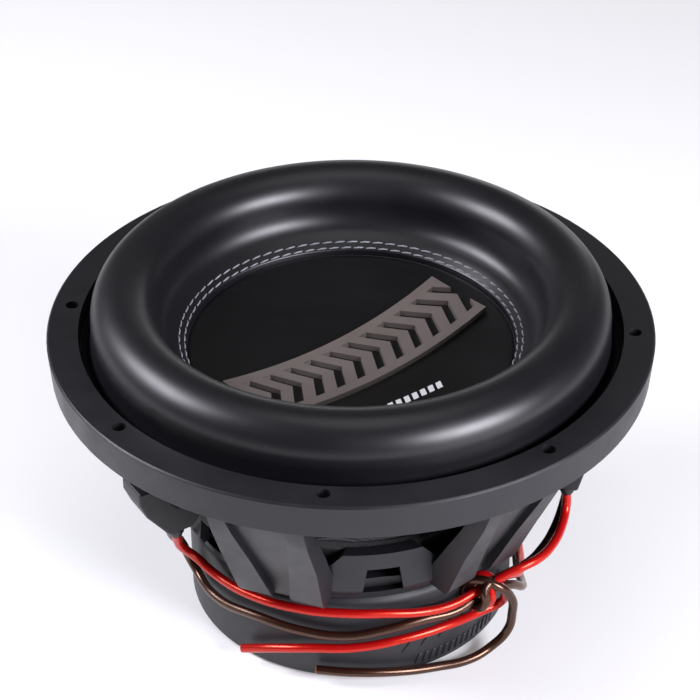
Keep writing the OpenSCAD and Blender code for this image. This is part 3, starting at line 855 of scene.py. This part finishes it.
# Zinc plating: a dull spangle of crystals a few millimetres across.
spangle = node(tree, "TexVoronoi", {"Vector": place, "Scale": 300.0})
rough = node(tree, "MapRange", {"Value": spangle.outputs["Distance"], "To Min": 0.32,
                                "To Max": 0.55})
shade = node(tree, "MixRGB", {"Fac": spangle.outputs["Distance"], "Color1": linear("9b9da0"),
                              "Color2": linear("7c7e82")})
tree.links.new(rough.outputs[0], shader.inputs["Roughness"])
tree.links.new(shade.outputs[0], shader.inputs["Base Color"])
screen.data.materials.append(zinc)
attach(screen, "frame")
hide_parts("vent_screen")

# ---------------------------------------------------------------- motor boot
# A moulded rubber band stretched round the magnets, with a lip over their top edge. A
# run of short slanted ribs stands on its wall at the front right, and longer ones above.

BOOT_R = 90.0
RIB_PROUD = 0.7
# Each rib: its angle in degrees, lower and upper end, width and lean
SHORT_RIBS = [(-62 + 35 * k / 13, 4.0, 11.0, 2.2, 0.35) for k in range(14)]
LONG_RIBS = [(-67 + 41 * k / 6, 15.0 + 1.4 * k, 25.0 + 1.4 * k, 1.5, 0.75) for k in range(7)]

boot = turned("moulded_boot", [
    (86.0, 1.2), (86.4, 0.8), (88.3, 0.5), (89.2, 0.8), (89.8, 1.4), (90.0, 2.3),
    (90.0, 12.5), (90.0, 50.6), (89.8, 51.8), (89.2, 53.0), (88.2, 53.9), (87.6, 54.7),
    (87.0, 55.0), (86.5, 54.8), (86.0, 54.2), (86.0, 30.0), (86.0, 1.2)], steps=240)


def slanted_rib(angle, low, high, width, slant):
    """One low rib on the boot's wall, leaning to the right as it rises."""
    let_go()
    bpy.ops.mesh.primitive_cube_add(size=1)
    rib = bpy.context.object
    bpy.ops.object.mode_set(mode="EDIT")
    bpy.ops.mesh.select_all(action="SELECT")
    bpy.ops.mesh.bevel(offset=0.18, segments=2, affect="EDGES")
    bpy.ops.object.mode_set(mode="OBJECT")
    for vertex in rib.data.vertices:
        z = low + (high - low) * (vertex.co.z + 0.5)
        radius = BOOT_R + RIB_PROUD * 2 * vertex.co.x
        turn = math.radians(angle) + (width * vertex.co.y + slant * (z - low)) / BOOT_R
        vertex.co = (radius * math.cos(turn) / 1000, radius * math.sin(turn) / 1000, z / 1000)
    bpy.ops.object.shade_smooth()
    return rib


ribs = [slanted_rib(*rib) for rib in SHORT_RIBS + LONG_RIBS]
bpy.ops.object.select_all(action="DESELECT")
for rib in ribs:
    rib.select_set(True)
boot.select_set(True)
bpy.context.view_layer.objects.active = boot
bpy.ops.object.join()
boot.data.materials.append(
    moulded_rubber("epdm_rubber_moulded_matt", "1c1c1f", 0.5, 0.6, 0.06))
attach(boot, "frame")
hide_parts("boot")

# ---------------------------------------------------------------- basket screws
# Six socket-head cap screws of alloy steel, black oxide with a film of oil, which hold
# the basket's foot down on the front plate.

screws = from_casting("socket_head_screws", "basket_screws")
round_edges(screws, 0.0003, angle=40)
oxide, tree, shader = new_material("oiled_black_oxide", "2c2c30", 0.36, Metallic=0.9)
place = node(tree, "TexCoord").outputs["Object"]
# Black oxide: blue-black with steel showing through in fine specks.
specks = node(tree, "TexNoise", {"Vector": place, "Scale": 2400.0, "Detail": 3.0})
shade = node(tree, "ValToRGB", {"Fac": specks.outputs["Fac"]})
shade.color_ramp.elements[0].position = 0.5
shade.color_ramp.elements[0].color = linear("232327")
shade.color_ramp.elements[1].position = 0.8
shade.color_ramp.elements[1].color = linear("5c5d62")
rough = node(tree, "MapRange", {"Value": specks.outputs["Fac"], "To Min": 0.28,
                                "To Max": 0.48})
tree.links.new(shade.outputs[0], shader.inputs["Base Color"])
tree.links.new(rough.outputs[0], shader.inputs["Roughness"])
screws.data.materials.append(oxide)
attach(screws, "frame")
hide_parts("basket_screws")

# ---------------------------------------------------------------- lead blocks
# Two blocks of glass-filled nylon, moulded and pressed over the shelf's edge. Each has
# two soft bushings pushed up into its underside, where the wires go in.

TERMINAL_TURNS = {"a": math.radians(-143), "b": math.radians(-6)}
# Radius of each pair of bushings, their lower end and how far each is from the middle
BUSHING_RADII = {"a": 112.0, "b": 120.0}
BUSHING_LOW_Z = 78.0
HALF_GAP = 5.0

nylon, tree, shader = new_material("glass_filled_nylon", "1a1a1c", 0.48)
place = node(tree, "TexCoord").outputs["Object"]
# Glass-filled nylon: spark-eroded mould texture with faint flow marks.
spark = node(tree, "TexNoise", {"Vector": place, "Scale": 1600.0, "Detail": 3.0})
flow = node(tree, "TexNoise", {"Vector": node(tree, "Mapping", {
    "Vector": place, "Scale": (1, 1, 4)}).outputs[0], "Scale": 40.0, "Detail": 2.0})
rough = node(tree, "MapRange", {"Value": flow.outputs["Fac"], "To Min": 0.4, "To Max": 0.6})
bump = node(tree, "Bump", {"Height": spark.outputs["Fac"], "Strength": 0.3,
                           "Distance": 0.0001})
tree.links.new(rough.outputs[0], shader.inputs["Roughness"])
tree.links.new(bump.outputs[0], shader.inputs["Normal"])
soft_pvc = moulded_rubber("soft_pvc_bushing", "0d0d0e", 0.42, 0.7, 0.04)

for side, turn in TERMINAL_TURNS.items():
    block = from_casting("lead_block_" + side, "terminal_" + side)
    round_edges(block, 0.0012, segments=3)
    block.data.materials.append(nylon)
    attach(block, "frame")
    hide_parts("terminal_" + side)
    low = BUSHING_LOW_Z
    pair = []
    for offset in (-HALF_GAP, HALF_GAP):
        bushing = turned("bushings_" + side, [
            (2.2, low + 0.4), (2.5, low), (3.0, low), (3.3, low + 0.3), (3.7, low + 2.2),
            (4.3, low + 2.5), (4.4, low + 2.8), (4.4, low + 4.6), (4.3, low + 4.9),
            (3.9, low + 5.0), (2.2, low + 5.0), (2.2, low + 0.4)], steps=32)
        bushing.data.transform(Matrix.Rotation(turn, 4, "Z") @ Matrix.Translation(
            (BUSHING_RADII[side] / 1000, offset / 1000, 0)))
        pair.append(bushing)
    for bushing in pair:
        bushing.select_set(True)
    bpy.ops.object.join()
    bushings = bpy.context.object
    bushings.name = "bushings_" + side
    bushings.data.materials.append(soft_pvc)
    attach(bushings, "frame")
    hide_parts("grommet_" + side)

# ---------------------------------------------------------------- tinsel leads
# Four braided leads of copper tinsel over a cotton core. Each is soldered at the former
# and at a lead block, and hangs in a shallow bow so that it can follow the coil.

TINSEL_START = (39.1, 106.0)
TINSEL_END = (90.0, 97.0)
TINSEL_SAG = 8.0
TINSEL_R = 0.0011
TINSEL_STEPS = 16

braid, tree, shader = new_material("tinned_copper_braid", "b39a7c", 0.38, Metallic=1.0)
place = node(tree, "TexCoord").outputs["UV"]
# Two sets of flat tinsel strips wound against each other round the core.
first = node(tree, "TexWave", {"Vector": node(tree, "Mapping", {
    "Vector": place, "Rotation": (0, 0, 0.7), "Scale": (30, 3, 1)}).outputs[0],
    "Scale": 0.5})
second = node(tree, "TexWave", {"Vector": node(tree, "Mapping", {
    "Vector": place, "Rotation": (0, 0, -0.7), "Scale": (30, 3, 1)}).outputs[0],
    "Scale": 0.5})
crossed = node(tree, "Math", {0: first.outputs["Fac"], 1: second.outputs["Fac"]},
               operation="MAXIMUM")
shade = node(tree, "MixRGB", {"Fac": crossed.outputs[0], "Color1": linear("7d6246"),
                              "Color2": linear("cdb796")})
bump = node(tree, "Bump", {"Height": crossed.outputs[0], "Strength": 0.8,
                           "Distance": 0.0002})
tree.links.new(shade.outputs[0], shader.inputs["Base Color"])
tree.links.new(bump.outputs[0], shader.inputs["Normal"])

for side, turn in TERMINAL_TURNS.items():
    for number, offset in ((1, -HALF_GAP), (2, HALF_GAP)):
        name = "tinsel_" + side + str(number)
        place = Matrix.Rotation(turn, 4, "Z")
        bow = []
        for k in range(TINSEL_STEPS + 1):
            t = k / TINSEL_STEPS
            radius = TINSEL_END[0] + (TINSEL_START[0] - TINSEL_END[0]) * t
            height = TINSEL_END[1] + (TINSEL_START[1] - TINSEL_END[1]) * t
            sag = TINSEL_SAG * 4 * t * (1 - t)
            bow.append(place @ Vector((radius - 0.17 * sag, offset, height - 0.98 * sag)))
        let_go()
        tinsel = drawn_wire(name + "_braid", bow, TINSEL_R)
        tinsel.data.materials.append(braid)
        tinsel.select_set(True)
        bpy.context.view_layer.objects.active = tinsel
        bpy.ops.object.convert(target="MESH")
        tinsel = bpy.context.object
        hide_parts(name)
        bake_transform(tinsel)
